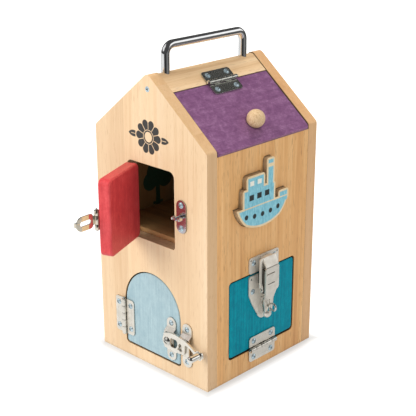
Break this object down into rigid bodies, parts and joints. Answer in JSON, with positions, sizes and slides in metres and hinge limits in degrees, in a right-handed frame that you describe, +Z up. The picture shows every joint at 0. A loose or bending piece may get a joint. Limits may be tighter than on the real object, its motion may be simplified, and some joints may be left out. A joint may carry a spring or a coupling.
{
  "type": "latch lock box",
  "caption": "Toy house with hinged doors in its walls and roof, each held by its own latch, a lift-out wooden shape in one side and a carrying handle along the ridge.",
  "frame": {"origin": "centre of the base, on the plane that the house stands on", "axes": "+Z up; -Y out of the front with the red and the blue door; +X out of the side with the teal flap; +Y to the back"},
  "size_m": [0.1707, 0.2402, 0.328],
  "materials": {
    "birch_wood": "clear-coated pale hardwood, satin",
    "side_wood": "clear-coated hardwood, satin, straight upright grain",
    "inner_wood": "bare sanded hardwood, matt",
    "purple_stained_wood": "uneven purple stain on wood, satin",
    "knob_wood": "clear-coated turned hardwood, satin",
    "red_painted_wood": "red painted wood, semi-gloss",
    "pale_blue_painted_wood": "pale blue painted wood, semi-gloss",
    "teal_painted_wood": "teal painted wood, semi-gloss",
    "shape_wood": "blue-green print on hardwood, satin",
    "chrome_bar": "polished chrome plating on steel",
    "chrome_fittings": "polished chrome plating",
    "nickel_plate": "bright nickel plating on pressed steel",
    "bright_steel_pins": "plain bright steel",
    "zinc_screws": "zinc-plated steel"
  },
  "bodies": {
    "house": {"front_panel": "birch_wood", "back_panel": "birch_wood", "left_side_panel": "birch_wood", "right_side_panel": "side_wood", "base_panel": "inner_wood", "middle_shelf": "inner_wood", "left_roof_panel": "birch_wood", "ridge_beam": "birch_wood", "gable_screws": "zinc_screws", "carry_handle": "chrome_bar", "handle_screws": "zinc_screws", "blue_door_stop": "inner_wood", "teal_door_stop": "inner_wood", "lid_hinge_frame_leaf": "nickel_plate", "lid_hinge_pin": "bright_steel_pins", "red_hinge_frame_leaf": "nickel_plate", "red_hinge_pin": "bright_steel_pins", "turn_knob_plate": "nickel_plate", "blue_hinge_frame_leaf": "nickel_plate", "blue_hinge_pin": "bright_steel_pins", "lever_keeper": "nickel_plate", "teal_hinge_frame_leaf": "nickel_plate", "teal_hinge_pin": "bright_steel_pins", "toggle_strike": "nickel_plate", "frame_hinge_screws": "zinc_screws", "frame_plate_screws": "zinc_screws"},
    "lid": {"roof_lid": "purple_stained_wood", "lid_knob": "knob_wood", "lid_knob_screw": "zinc_screws", "lid_screws": "zinc_screws", "lid_hinge_lid_leaf": "nickel_plate"},
    "red_door_body": {"red_door": "red_painted_wood", "red_hinge_door_leaf": "nickel_plate", "red_door_screws": "zinc_screws", "hasp_base": "nickel_plate", "hasp_pin": "bright_steel_pins"},
    "hasp": {"hasp_leaf": "nickel_plate"},
    "knob": {"turn_knob": "chrome_fittings"},
    "blue_door_body": {"blue_door": "pale_blue_painted_wood", "blue_hinge_door_leaf": "nickel_plate", "blue_door_screws": "zinc_screws", "lever_plate": "nickel_plate", "lever_rivet": "bright_steel_pins"},
    "lever": {"latch_lever": "nickel_plate", "lever_knob": "chrome_fittings"},
    "teal_door_body": {"teal_door": "teal_painted_wood", "teal_hinge_door_leaf": "nickel_plate", "teal_door_screws": "zinc_screws", "toggle_base": "nickel_plate", "toggle_pivot_pin": "bright_steel_pins"},
    "toggle": {"toggle_lever": "nickel_plate", "claw_rivets": "bright_steel_pins"},
    "claw": {"toggle_claw": "nickel_plate"},
    "eye": {"swivel_eye": "chrome_fittings"},
    "shape": {"puzzle_block": "shape_wood"}
  },
  "joints": [
    {"name": "lid_hinge", "type": "hinge", "parent": "house", "child": "lid", "pos_m": [0.02156, 0, 0.28616], "axis": [0, -1, 0], "range_deg": [0, 120]},
    {"name": "red_door_hinge", "type": "hinge", "parent": "house", "child": "red_door_body", "pos_m": [-0.0308, -0.0807, 0.17475], "axis": [0, 0, -1], "range_deg": [-68, 98]},
    {"name": "hasp_hinge", "type": "hinge", "parent": "red_door_body", "child": "hasp", "pos_m": [-0.00772, -0.13781, 0.173], "axis": [0, 0, -1], "range_deg": [-20, 130]},
    {"name": "turn_knob_pivot", "type": "hinge", "parent": "house", "child": "knob", "pos_m": [0.0435, -0.0851, 0.173], "axis": [0, -1, 0], "range_deg": [-90, 90]},
    {"name": "blue_door_hinge", "type": "hinge", "parent": "house", "child": "blue_door_body", "pos_m": [-0.04, -0.0807, 0.0435], "axis": [0, 0, -1], "range_deg": [0, 165]},
    {"name": "lever_pivot", "type": "hinge", "parent": "blue_door_body", "child": "lever", "pos_m": [0.028, -0.0848, 0.041], "axis": [0, -1, 0], "range_deg": [-18, 90]},
    {"name": "teal_door_hinge", "type": "hinge", "parent": "house", "child": "teal_door_body", "pos_m": [0.0784, 0, 0.0225], "axis": [0, 1, 0], "range_deg": [0, 90]},
    {"name": "toggle_pivot", "type": "hinge", "parent": "teal_door_body", "child": "toggle", "pos_m": [0.083, 0, 0.107], "axis": [0, -1, 0], "range_deg": [-5, 100]},
    {"name": "claw_pivot", "type": "hinge", "parent": "toggle", "child": "claw", "pos_m": [0.0838, 0, 0.088], "axis": [0, -1, 0], "range_deg": [-100, 5]},
    {"name": "eye_swivel", "type": "hinge", "parent": "teal_door_body", "child": "eye", "pos_m": [0.077, 0, 0.0683], "axis": [1, 0, 0], "range_deg": [0, 90]},
    {"name": "shape_slide", "type": "slide", "parent": "house", "child": "shape", "axis": [1, 0, 0], "range_m": [0, 0.03]}
  ],
  "couplings": [
    {"joint": "claw_pivot", "follows": "toggle_pivot", "ratio": -1}
  ]
}
